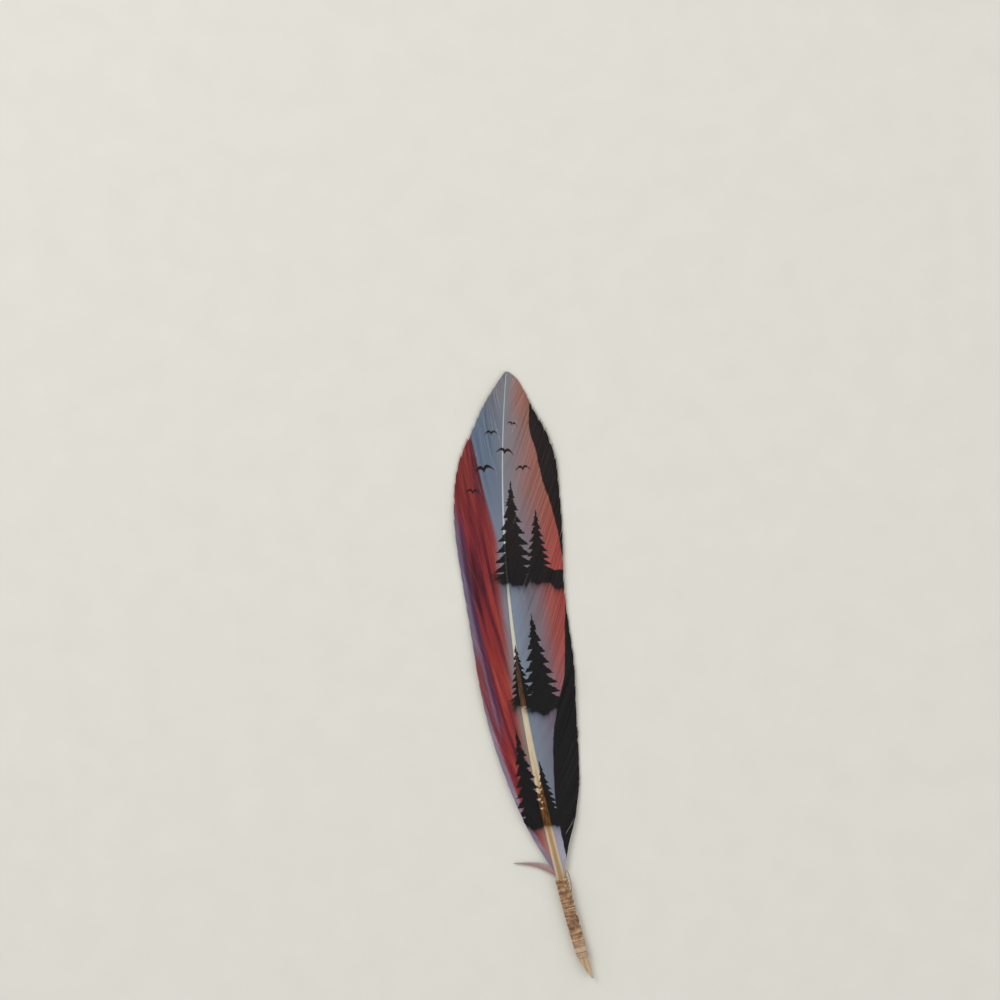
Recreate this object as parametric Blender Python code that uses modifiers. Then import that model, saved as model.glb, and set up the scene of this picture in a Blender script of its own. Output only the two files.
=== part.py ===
"""A turkey tail feather laid flat with its printed face up, and the thread binding round its quill.

The feather is one grown piece: a quill with a slanted cut end, a shaft that thins to the tip, and a vane on each
side of it. The vane is a thin cambered web, divided into locks of barbs that run out and forward to the edge.
X is across the feather, Y runs from the quill to the tip, and the feather lies on the plane z = 0. The origin is
on that plane, under the middle of the binding. All sizes are in metres.
"""

import math

import bmesh
import bpy
import numpy as np
from mathutils import Matrix, Vector

MM = 0.001

# The shaft seen from above: its chord lies along Y, and it bows towards -X, most of all a little below the middle
CHORD = 186.8 * MM
END_OFFSET = 0.8 * MM
BOW = 29.5 * MM
BOW_SKEW = 11.6 * MM

# Pairs of a place along the chord and a value there, in millimetres
SHAFT_RADIUS = ((0, 1.38), (33, 1.38), (46, 1.30), (70, 1.02), (92, 0.80), (112, 0.54), (135, 0.36), (186.8, 0.16))
SHAFT_HEIGHT = ((0, 1.70), (6, 1.77), (33, 1.77), (60, 2.45), (95, 3.05), (130, 2.70), (160, 1.75), (186.8, 0.60))
LEFT_WIDTH = (
    (32, 0.8), (38, 3.0), (48, 6.2), (60, 8.8), (75, 11.1), (90, 12.4), (110, 13.0), (125, 14.0),
    (144, 15.4), (154, 14.9), (161, 13.5), (169, 10.0), (177, 6.5), (183, 2.9), (185.5, 1.3), (186.8, 0.3),
)
RIGHT_WIDTH = (
    (32, 1.2), (40, 4.4), (50, 9.4), (62, 13.1), (80, 15.7), (100, 17.7), (120, 17.4), (140, 18.1),
    (159, 17.0), (169, 14.0), (177, 8.9), (183, 5.1), (185.5, 2.9), (186.8, 0.6),
)
# How much further along the chord a barb ends than it starts
BARB_LEAD = (
    (32.5, 1.5), (45, 13), (60, 26), (80, 36), (105, 42), (130, 38), (150, 27), (167, 14), (179, 6.3), (186.8, 0),
)

# The vane
VANE_START = 32.5 * MM
VANE_THICKNESS = 0.5 * MM
LOCKS = 32  # on each side of the shaft
COLUMNS = 8  # from the shaft to the edge
LOCK_NOTCH = 0.02  # share of its length by which the joint between two locks falls short
LOCK_RIDGE = 0.1 * MM
ROOT_RISE = 0.25  # height of the vane's root on the shaft, as a share of the shaft's radius
DROOP = 0.17  # fall of the edge below the root, as a share of the vane's width
EDGE_HEIGHT = 0.56 * MM
CAMBER_POWER = 1.6
EDGE_LIFT = 0.3 * MM
LIFT_WAVE = 41 * MM

# The barb direction bends forward from the shaft to the edge
START_SPEED = 0.88
SPREAD_SPEED = 1.15

# The slanted cut at the quill's end, and the hollow that it opens
CUT_LENGTH = 7.0 * MM
CUT_TILT = math.radians(25)
HOLLOW_RADIUS = 0.9 * MM
HOLLOW_DEPTH = 10 * MM

# A lock at the foot of the left vane that stands away from the rest, in millimetres: how far out from the shaft
# and how far forward of its root, its height, and half its width
LOOSE_LOCK_ROOT = 31.6 * MM
LOOSE_LOCK = (
    (0.0, 0.9, 1.75, 0.65), (1.9, 2.9, 1.70, 1.10), (3.6, 4.3, 1.55, 1.00), (5.6, 5.5, 1.35, 0.75),
    (8.6, 6.7, 1.05, 0.45), (11.0, 7.4, 0.85, 0.28), (12.8, 7.9, 0.70, 0.12),
)
LOOSE_LOCK_FLATNESS = 0.35

# The binding, and the plane that its underside is pressed flat on
BINDING_START = 7.0 * MM
BINDING_END = 31.6 * MM
BINDING_BORE = 1.66 * MM
BINDING_RADIUS = 1.97 * MM
BINDING_GROOVE = 0.12 * MM
BINDING_TURNS = 17
ROUND_STEPS = 16

SHAFT_STEP = 3 * MM
CUTTER_SIZE = 80 * MM


def through(stations, at):
    """Values at the places AT on a smooth curve through the stations, which never swings past them."""
    place, value = np.array(stations, float).T * MM
    at = np.clip(np.asarray(at, float), place[0], place[-1])
    step = np.diff(place)
    slope = np.diff(value) / step
    before, after = slope[:-1], slope[1:]
    agree = before * after > 0
    total = np.where(agree, before + after, 1.0)
    bend = np.concatenate([slope[:1], np.where(agree, 2 * before * after / total, 0.0), slope[-1:]])
    i = np.clip(np.searchsorted(place, at) - 1, 0, len(step) - 1)
    q = (at - place[i]) / step[i]
    start = (1 + 2 * q) * (1 - q) ** 2 * value[i] + q * (1 - q) ** 2 * step[i] * bend[i]
    end = (3 - 2 * q) * q**2 * value[i + 1] + (q - 1) * q**2 * step[i] * bend[i + 1]
    return start + end


def bow(along):
    """Sideways place of the shaft at a place along its chord, and its slope there."""
    t = along / CHORD
    depth = END_OFFSET + BOW * t + BOW_SKEW * t**2
    slope = depth - (1 - t) * (BOW + 2 * BOW_SKEW * t)
    return -(1 - t) * depth, slope / CHORD


def shaft_line(along):
    """Places (x, y) on the shaft, and the unit vectors that point to its right there."""
    middle = (BINDING_START + BINDING_END) / 2
    x, slope = bow(along)
    across = np.stack([np.ones_like(slope), -slope], axis=-1)
    across /= np.linalg.norm(across, axis=-1, keepdims=True)
    return np.stack([x - bow(middle)[0], along - middle], axis=-1), across


def vane_point(side, start, reach):
    """Point on top of the vane. SIDE is -1 or 1, START the barb's root on the chord, REACH 0 there and 1 at its tip."""
    widths = LEFT_WIDTH if side < 0 else RIGHT_WIDTH
    lead = through(BARB_LEAD, start)
    along = start + lead * (START_SPEED * reach + (1 - START_SPEED) * reach**2)
    out = through(widths, start + lead) * (SPREAD_SPEED * reach - (SPREAD_SPEED - 1) * reach**2)
    place, across = shaft_line(along)
    place = place + side * out[..., None] * across
    width = through(widths, along)
    share = np.clip(out / width, 0, 1)
    root = through(SHAFT_HEIGHT, along) + ROOT_RISE * through(SHAFT_RADIUS, along)
    edge = np.maximum(EDGE_HEIGHT, root - DROOP * width)
    lift = EDGE_LIFT * (1 + np.sin(2 * math.pi * along / LIFT_WAVE + side))
    height = root - (root - edge) * share**CAMBER_POWER + lift * share**2
    return np.concatenate([place, height[..., None]], axis=-1)


def lock_roots():
    """Places along the chord where the locks meet and where their ridges start, closer together at both ends."""
    start = np.linspace(VANE_START, CHORD, 400)
    spread = 2 * start + through(BARB_LEAD, start)
    return np.interp(np.linspace(spread[0], spread[-1], 2 * LOCKS + 1), spread, start)


def material(name, colour, roughness):
    """A plain Principled material."""
    made = bpy.data.materials.new(name)
    made.use_nodes = True
    shader = made.node_tree.nodes["Principled BSDF"]
    shader.inputs["Base Color"].default_value = (*colour, 1.0)
    shader.inputs["Roughness"].default_value = roughness
    return made


def add_object(name, mesh, collection):
    """A new object with this mesh, in this collection."""
    made = bpy.data.objects.new(name, mesh)
    collection.objects.link(made)
    return made


def baked(obj, collection):
    """The object as its modifiers or its curve make it, as a new mesh object with its place in the mesh."""
    bpy.context.view_layer.update()
    evaluated = obj.evaluated_get(bpy.context.evaluated_depsgraph_get())
    mesh = bpy.data.meshes.new_from_object(evaluated)
    mesh.transform(obj.matrix_world)
    shape = bmesh.new()
    shape.from_mesh(mesh)
    bmesh.ops.remove_doubles(shape, verts=shape.verts, dist=1e-6)
    shape.to_mesh(mesh)
    shape.free()
    name = obj.name
    bpy.data.objects.remove(obj)
    return add_object(name, mesh, collection)


def tube(name, points, radii, sides, collection):
    """A round rod along the points, with its own radius at each."""
    curve = bpy.data.curves.new(name, "CURVE")
    curve.dimensions = "3D"
    curve.bevel_depth = max(radii)
    curve.bevel_resolution = (sides - 4) // 2
    curve.use_fill_caps = True
    spline = curve.splines.new("POLY")
    spline.points.add(len(points) - 1)
    for point, place, radius in zip(spline.points, points, radii):
        point.co = (*place, 1.0)
        point.radius = radius / curve.bevel_depth
    return baked(add_object(name, curve, collection), collection)


def combine(obj, other, operation):
    """Adds a Boolean modifier that joins the other object to this one, or cuts it away."""
    modifier = obj.modifiers.new(other.name, "BOOLEAN")
    modifier.operation = operation
    modifier.solver = "EXACT"
    modifier.object = other
    other.hide_render = True
    other.display_type = "WIRE"


def make_vane(helpers):
    """The web of both vanes: a grid whose rows follow the barbs, thickened downwards."""
    shape = bmesh.new()
    bmesh.ops.create_grid(shape, x_segments=2 * COLUMNS, y_segments=2 * LOCKS, size=1.0)
    shape.verts.ensure_lookup_table()
    flat = np.array([vert.co for vert in shape.verts])
    column = np.rint(flat[:, 0] * COLUMNS).astype(int)
    row = np.rint((flat[:, 1] + 1) * LOCKS).astype(int)
    ridge = row % 2 == 1
    start = lock_roots()[row]
    reach = np.abs(column) / COLUMNS * np.where(ridge, 1.0, 1 - LOCK_NOTCH)
    points = np.where(
        (column < 0)[:, None], vane_point(-1, start, reach), vane_point(1, start, reach)
    )
    points[:, 2] += np.where(ridge, LOCK_RIDGE, 0.0) * np.sqrt(reach)
    for vert, point in zip(shape.verts, points):
        vert.co = point
    bmesh.ops.remove_doubles(shape, verts=shape.verts, dist=0.02 * MM)
    mesh = bpy.data.meshes.new("vane")
    shape.to_mesh(mesh)
    shape.free()
    vane = add_object("vane", mesh, helpers)
    thick = vane.modifiers.new("thickness", "SOLIDIFY")
    thick.thickness = VANE_THICKNESS
    thick.offset = -1.0
    return baked(vane, helpers)


def make_shaft(helpers):
    """The quill and shaft in one tapering rod."""
    along = np.linspace(0.0, CHORD - 1.0 * MM, round(CHORD / SHAFT_STEP) + 1)
    place, _ = shaft_line(along)
    points = np.column_stack([place, through(SHAFT_HEIGHT, along)])
    return tube("shaft", points, through(SHAFT_RADIUS, along), 10, helpers)


def make_loose_lock(helpers):
    """The lock that stands away from the foot of the left vane, flattened."""
    foot, across = shaft_line(np.array([LOOSE_LOCK_ROOT]))
    forward = np.array([-across[0][1], across[0][0]])
    out, ahead, height, half_width = np.array(LOOSE_LOCK).T[:, :, None] * MM
    place = foot - out * across + ahead * forward
    points = np.column_stack([place, height / LOOSE_LOCK_FLATNESS])
    lock = tube("loose_lock", points, half_width[:, 0], 8, helpers)
    lock.data.transform(Matrix.Diagonal((1.0, 1.0, LOOSE_LOCK_FLATNESS, 1.0)))
    return lock


def make_end_cutter(helpers):
    """A block whose face is the slanted cut at the quill's end."""
    foot, across = shaft_line(np.array([0.0]))
    right = Vector((*across[0], 0.0))
    forward = Vector((-right.y, right.x, 0.0))
    radius = SHAFT_RADIUS[0][1] * MM
    slant = (forward * CUT_LENGTH - right * 2 * radius).normalized()
    outward = Vector((-slant.y, slant.x, 0.0))
    outward = (outward * math.cos(CUT_TILT) + Vector((0.0, 0.0, math.sin(CUT_TILT)))).normalized()
    bpy.ops.mesh.primitive_cube_add(size=CUTTER_SIZE)
    cutter = bpy.context.object
    cutter.name = "end_cutter"
    turn = outward.to_track_quat("X", "Z").to_matrix().to_4x4()
    point = Vector((*foot[0], SHAFT_HEIGHT[0][1] * MM)) + right * radius
    cutter.matrix_world = Matrix.Translation(point + outward * CUTTER_SIZE / 2) @ turn
    move_to(cutter, helpers)
    return cutter


def make_hollow_cutter(helpers):
    """A rod for the hollow inside the quill's end."""
    along = np.array([-2 * MM, HOLLOW_DEPTH])
    place, _ = shaft_line(along)
    points = np.column_stack([place, through(SHAFT_HEIGHT, along)])
    return tube("hollow_cutter", points, [HOLLOW_RADIUS, HOLLOW_RADIUS], 10, helpers)


def move_to(obj, collection):
    """Puts the object in this collection alone."""
    for old in list(obj.users_collection):
        old.objects.unlink(obj)
    collection.objects.link(obj)


def make_feather(parts, helpers):
    """The feather: vane, shaft and loose lock in one solid, with its quill cut to a hollow point."""
    feather = make_shaft(parts)
    feather.name = "feather"
    combine(feather, make_vane(helpers), "UNION")
    combine(feather, make_loose_lock(helpers), "UNION")
    combine(feather, make_end_cutter(helpers), "DIFFERENCE")
    combine(feather, make_hollow_cutter(helpers), "DIFFERENCE")
    feather.data.shade_smooth()
    feather.data.set_sharp_from_angle(angle=math.radians(40))
    feather.data.materials.append(material("printed_vane", (0.30, 0.26, 0.31), 0.62))


def binding_profile():
    """The sleeve's cut face as (radius, length) pairs: down its wound outside, then up its bore."""
    half = (BINDING_END - BINDING_START) / 2
    turn = 2 * half / BINDING_TURNS
    outside = []
    for k in range(BINDING_TURNS):
        top = half - k * turn
        outside.append((BINDING_RADIUS - BINDING_GROOVE, top))
        outside.append((BINDING_RADIUS, top - 0.35 * turn))
        outside.append((BINDING_RADIUS, top - 0.65 * turn))
    outside.append((BINDING_RADIUS - BINDING_GROOVE, -half))
    return [*outside, (BINDING_BORE, -half), (BINDING_BORE, half)]


def make_binding(parts, helpers):
    """The thread binding: a turned sleeve round the quill, its underside pressed flat where it lies."""
    profile = binding_profile()
    mesh = bpy.data.meshes.new("quill_binding")
    edges = [(i, (i + 1) % len(profile)) for i in range(len(profile))]
    mesh.from_pydata([(radius, 0.0, height) for radius, height in profile], edges, [])
    binding = add_object("quill_binding", mesh, parts)
    screw = binding.modifiers.new("turn", "SCREW")
    screw.axis = "Z"
    screw.steps = screw.render_steps = ROUND_STEPS
    screw.use_merge_vertices = True
    screw.merge_threshold = 0.0001 * MM
    _, across = shaft_line(np.array([(BINDING_START + BINDING_END) / 2]))
    right = Vector((*across[0], 0.0))
    forward = Vector((-right.y, right.x, 0.0))
    turn = Matrix((right, Vector((0.0, 0.0, -1.0)), forward)).transposed()
    half_side = math.pi / ROUND_STEPS
    turn = turn @ Matrix.Rotation(half_side, 3, "Z")
    binding.matrix_world = Matrix.Translation((0.0, 0.0, SHAFT_HEIGHT[1][1] * MM)) @ turn.to_4x4()
    bpy.ops.mesh.primitive_cube_add(size=CUTTER_SIZE, location=(0.0, 0.0, -CUTTER_SIZE / 2))
    table = bpy.context.object
    table.name = "table_cutter"
    move_to(table, helpers)
    combine(binding, table, "DIFFERENCE")
    binding.data.materials.append(material("thread", (0.42, 0.27, 0.15), 0.8))


def main():
    for old in list(bpy.data.objects):
        bpy.data.objects.remove(old)
    parts = bpy.data.collections.new("turkey_tail_feather")
    helpers = bpy.data.collections.new("cutters")
    bpy.context.scene.collection.children.link(parts)
    bpy.context.scene.collection.children.link(helpers)
    make_feather(parts, helpers)
    make_binding(parts, helpers)


main()
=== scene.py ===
"""A printed turkey tail feather with a thread-bound quill: barbs, webs, shaft, binding and the studio.

Every place on the feather is given by how far along the shaft's chord it is, from the quill's end to the
tip, and by how far out from the shaft it is. The same two numbers, in millimetres, make each piece's UV map,
so the print runs over barbs, web and shaft without a break.
"""
import logging
import math
from dataclasses import dataclass, field
from enum import Enum
from functools import reduce

import bpy
import numpy as np
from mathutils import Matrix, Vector


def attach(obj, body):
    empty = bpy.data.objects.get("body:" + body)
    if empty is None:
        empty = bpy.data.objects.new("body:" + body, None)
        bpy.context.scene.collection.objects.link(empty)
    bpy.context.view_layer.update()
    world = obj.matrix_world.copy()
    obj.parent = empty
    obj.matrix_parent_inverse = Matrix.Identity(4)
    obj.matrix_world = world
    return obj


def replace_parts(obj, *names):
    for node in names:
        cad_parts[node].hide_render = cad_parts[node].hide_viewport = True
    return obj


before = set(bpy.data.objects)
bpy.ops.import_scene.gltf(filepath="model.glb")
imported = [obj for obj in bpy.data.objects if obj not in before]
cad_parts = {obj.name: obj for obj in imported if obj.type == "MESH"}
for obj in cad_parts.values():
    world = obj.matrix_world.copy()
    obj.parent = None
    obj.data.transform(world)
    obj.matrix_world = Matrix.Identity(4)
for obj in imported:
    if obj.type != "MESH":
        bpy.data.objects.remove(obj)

MM = 0.001
PLACE_MAP = "place"
log = logging.getLogger("feather")
Array = np.ndarray
Socket = bpy.types.NodeSocket
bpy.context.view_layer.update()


class Side(Enum):
    """Which vane, as the sign of its side of the shaft."""

    LEFT = -1
    RIGHT = 1


def smooth(value: Array, low: float, high: float) -> Array:
    """An S-shaped rise from 0 at LOW to 1 at HIGH, as 3t^2 - 2t^3."""
    share = np.clip((value - low) / (high - low), 0.0, 1.0)
    return share * share * (3.0 - 2.0 * share)


def unit(vectors: Array) -> Array:
    """The vectors scaled to length 1."""
    return vectors / np.maximum(np.linalg.norm(vectors, axis=-1, keepdims=True), 1e-12)


def pair(a: object, b: object) -> Array:
    """Two numbers for each point, side by side in the last axis."""
    return np.stack(np.broadcast_arrays(a, b), axis=-1)


def ringed(index: Array) -> list[list[int]]:
    """Faces between neighbouring rows of vertex numbers, where every row runs round a ring."""
    turned = np.roll(index, -1, axis=-1)
    corners = [index[..., :-1, :], index[..., 1:, :], turned[..., 1:, :], turned[..., :-1, :]]
    return np.stack(corners, axis=-1).reshape(-1, 4).tolist()


@dataclass(frozen=True)
class Stations:
    """A smooth curve through pairs of (place, value) in millimetres, which never swings past them."""

    pairs: tuple[tuple[float, float], ...]

    def at(self, places: Array) -> Array:
        """Cubic curve with the harmonic mean of the neighbouring slopes at each pair.

        Args:
            places: places in metres.

        Returns:
            Values in metres.
        """
        place, value = np.array(self.pairs, float).T * MM
        places = np.clip(places, place[0], place[-1])
        step = np.diff(place)
        slope = np.diff(value) / step
        before, after = slope[:-1], slope[1:]
        agree = before * after > 0
        mean = np.where(agree, 2 * before * after / np.where(agree, before + after, 1.0), 0.0)
        bend = np.concatenate([slope[:1], mean, slope[-1:]])
        i = np.clip(np.searchsorted(place, places) - 1, 0, len(step) - 1)
        q = (places - place[i]) / step[i]
        start = (1 + 2 * q) * (1 - q) ** 2 * value[i] + q * (1 - q) ** 2 * step[i] * bend[i]
        end = (3 - 2 * q) * q**2 * value[i + 1] + (q - 1) * q**2 * step[i] * bend[i + 1]
        return start + end


def course(points: tuple[tuple[float, ...], ...], steps: int) -> Array:
    """A smooth run through points given in millimetres: one row in metres for each of their numbers."""
    knots = range(len(points))
    at = np.linspace(0, len(points) - 1, steps) * MM
    return np.stack([Stations(tuple(zip(knots, numbers))).at(at) for numbers in zip(*points)])


@dataclass
class Surface:
    """Points, faces and place map of one mesh.

    Attributes:
        points: vertices, as rows of x, y, z.
        faces: lists of vertex numbers.
        places: for each vertex, its distance out from the shaft and its place along the chord.
        tones: for each vertex, a random shade from 0 to 1 and how far its print is worn off, each carrying
            painted shade and highlight in places.
    """

    points: Array
    faces: list
    places: Array
    tones: Array

    def mesh_object(self, name: str, slot: str, material: bpy.types.Material) -> bpy.types.Object:
        """A new object with this mesh, riding on the body, in the given finish.

        Args:
            name: the piece's name.
            slot: not used.
            material: the piece's finish.

        Returns:
            The object, at the origin.
        """
        mesh = bpy.data.meshes.new(name)
        mesh.from_pydata(self.points, [], self.faces)
        mesh.update()
        corner = np.empty(len(mesh.loops), np.int32)
        mesh.loops.foreach_get("vertex_index", corner)
        uv = mesh.uv_layers.new(name=PLACE_MAP)
        uv.data.foreach_set("uv", (self.places / MM)[corner].astype(np.float32).ravel())
        for column, label in enumerate(("tone", "wear_and_painted_light")):
            values = mesh.attributes.new(label, "FLOAT", "POINT")
            values.data.foreach_set("value", self.tones[:, column].astype(np.float32))
        mesh.shade_smooth()
        mesh.materials.append(material)
        made = bpy.data.objects.new(name, mesh)
        bpy.context.scene.collection.objects.link(made)
        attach(made, "root")
        log.info("%s: %d faces", name, len(mesh.polygons))
        return made


def joined(parts: list[Surface]) -> Surface:
    """Several surfaces as one."""
    offsets = np.cumsum([0] + [len(part.points) for part in parts]).tolist()
    faces = []
    for part, offset in zip(parts, offsets):
        faces += [[corner + offset for corner in face] for face in part.faces]
    arrays = zip(*((part.points, part.places, part.tones) for part in parts))
    points, places, tones = (np.concatenate(rows) for rows in arrays)
    return Surface(points, faces, places, tones)


def carried(
    paths: Array,
    half_width: object,
    half_height: object,
    places: Array,
    tones: Array,
    sides: int = 4,
    axis: tuple[float, float, float] = (0.0, 0.0, 1.0),
) -> Surface:
    """Closed rods: an oval of SIDES points carried along each path, with a fan of faces over each end.

    A ring's point is path + cos(a) * half width * across + sin(a) * half height * up, where across is square
    to the path and to the axis, and up is square to both. What isn't given for each rod or step is shared.

    Args:
        paths: rod, step and x, y, z.
        half_width: rod and step.
        half_height: rod and step.
        places: rod, step and the two numbers of the place map.
        tones: rod, step and the two tones.
        sides: points round the oval.
        axis: a direction that no path runs along.

    Returns:
        The rods as one surface.
    """
    count, steps, _ = paths.shape
    ahead = unit(np.gradient(paths, axis=1))
    across = unit(np.cross(ahead, axis))
    up = np.cross(across, ahead)
    angle = np.arange(sides)[:, None] * 2 * math.pi / sides
    halves = (half_width, half_height)
    wide, high = (np.broadcast_to(half, (count, steps))[..., None, None] for half in halves)
    rings = paths[:, :, None] + wide * np.cos(angle) * across[:, :, None]
    rings += high * np.sin(angle) * up[:, :, None]
    index = np.arange(count * steps * sides).reshape(count, steps, sides)
    hearts = index.size + np.arange(2 * count).reshape(2, count, 1)
    faces = ringed(index)
    for heart, end in zip(hearts, (index[:, 0], index[:, -1, ::-1])):
        fan = np.stack([end, np.roll(end, -1, axis=1), np.broadcast_to(heart, end.shape)], axis=-1)
        faces += fan.reshape(-1, 3).tolist()

    def spread(values: Array) -> Array:
        """Each step's values at its ring's points, then those of both ends' middles."""
        values = np.broadcast_to(values, (count, steps, 2))
        ring = np.repeat(values[:, :, None], sides, axis=2).reshape(-1, 2)
        return np.concatenate([ring, values[:, 0], values[:, -1]])

    points = np.concatenate([rings.reshape(-1, 3), paths[:, 0], paths[:, -1]])
    return Surface(points, faces, spread(places), spread(tones))


def sheet_between(top: Array, bottom: Array, places: Array, tones: Array) -> Surface:
    """Closed thin sheets: a top and a bottom grid, joined all round their edges.

    Args:
        top: sheet, row, column and x, y, z.
        bottom: the same for the underside.
        places: sheet, row, column and the place map's numbers.
        tones: sheet, row, column and the two tones.

    Returns:
        The sheets as one surface.
    """
    count, rows, columns, _ = top.shape
    size = count * rows * columns
    upper = np.arange(size).reshape(count, rows, columns)
    lower = upper + size

    def cells(grid: Array) -> Array:
        """The four corners of each cell of each grid."""
        corners = [grid[:, :-1, :-1], grid[:, :-1, 1:], grid[:, 1:, 1:], grid[:, 1:, :-1]]
        return np.stack(corners, axis=-1).reshape(-1, 4)

    def rim(grid: Array) -> Array:
        """Each grid's outline as a closed run of points."""
        runs = [grid[:, 0, :-1], grid[:, :-1, -1], grid[:, -1, :0:-1], grid[:, :0:-1, 0]]
        return np.concatenate(runs, axis=1)

    edge, under = rim(upper), rim(lower)
    sides = np.stack([edge, under, np.roll(under, -1, 1), np.roll(edge, -1, 1)], axis=-1).reshape(-1, 4)
    faces = np.concatenate([cells(upper), cells(lower)[:, ::-1], sides])
    points = np.concatenate([top.reshape(-1, 3), bottom.reshape(-1, 3)])
    a, b, c = (points[faces[0][i]] for i in range(3))
    if np.cross(b - a, c - a)[2] < 0:
        faces = faces[:, ::-1]
    twice = np.concatenate([places.reshape(-1, 2)] * 2)
    return Surface(points, faces.tolist(), twice, np.concatenate([tones.reshape(-1, 2)] * 2))


@dataclass(frozen=True)
class ShaftLine:
    """The shaft's middle line, seen from above and from the side, and its thickness.

    Attributes:
        chord: straight length from the quill's end to the tip.
        end_offset, bow, bow_skew: how the line bends to the left of its chord.
        origin_along: where along the chord the object's origin lies.
        radius: the shaft's radius along the chord.
        height: height of its middle above the ground.
    """

    chord: float = 186.8 * MM
    end_offset: float = 0.8 * MM
    bow: float = 29.5 * MM
    bow_skew: float = 11.6 * MM
    origin_along: float = 19.3 * MM
    radius: Stations = Stations(
        ((0, 1.38), (33, 1.38), (46, 1.30), (70, 1.02), (92, 0.80), (112, 0.54), (135, 0.36), (186.8, 0.16))
    )
    height: Stations = Stations(
        ((0, 1.70), (6, 1.77), (33, 1.77), (60, 2.45), (95, 3.05), (130, 2.70), (160, 1.75), (186.8, 0.60))
    )

    def _sideways(self, along: Array) -> tuple[Array, Array]:
        """Sideways place -(1 - t)(end offset + bow t + skew t^2) at t = along / chord, and its slope."""
        t = along / self.chord
        depth = self.end_offset + self.bow * t + self.bow_skew * t**2
        slope = depth - (1 - t) * (self.bow + 2 * self.bow_skew * t)
        return -(1 - t) * depth, slope / self.chord

    def level(self, along: Array) -> tuple[Array, Array]:
        """Places (x, y) on the line, and the unit vectors that point to its right there."""
        x, slope = self._sideways(along)
        across = unit(pair(1.0, -slope))
        middle, _ = self._sideways(np.array(self.origin_along))
        return pair(x - middle, along - self.origin_along), across

    def beside(self, along: Array, out: Array, height: Array) -> Array:
        """Points at a place along the chord, a distance out to the right of the line, and a height."""
        along, out, height = np.broadcast_arrays(along, out, height)
        place, across = self.level(along)
        return np.concatenate([place + out[..., None] * across, height[..., None]], axis=-1)


@dataclass(frozen=True)
class Stretch:
    """A part of a barb's length where its vane gapes or its print is rubbed off.

    Attributes:
        root: where the barb leaves the shaft, in millimetres; a gap takes the nearest joint between locks.
        low: share of the barb's length where it begins.
        high: share where it ends.
        gap: half the gap's width along the shaft, in millimetres.
    """

    root: float
    low: float
    high: float
    gap: float = 0.0


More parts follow.
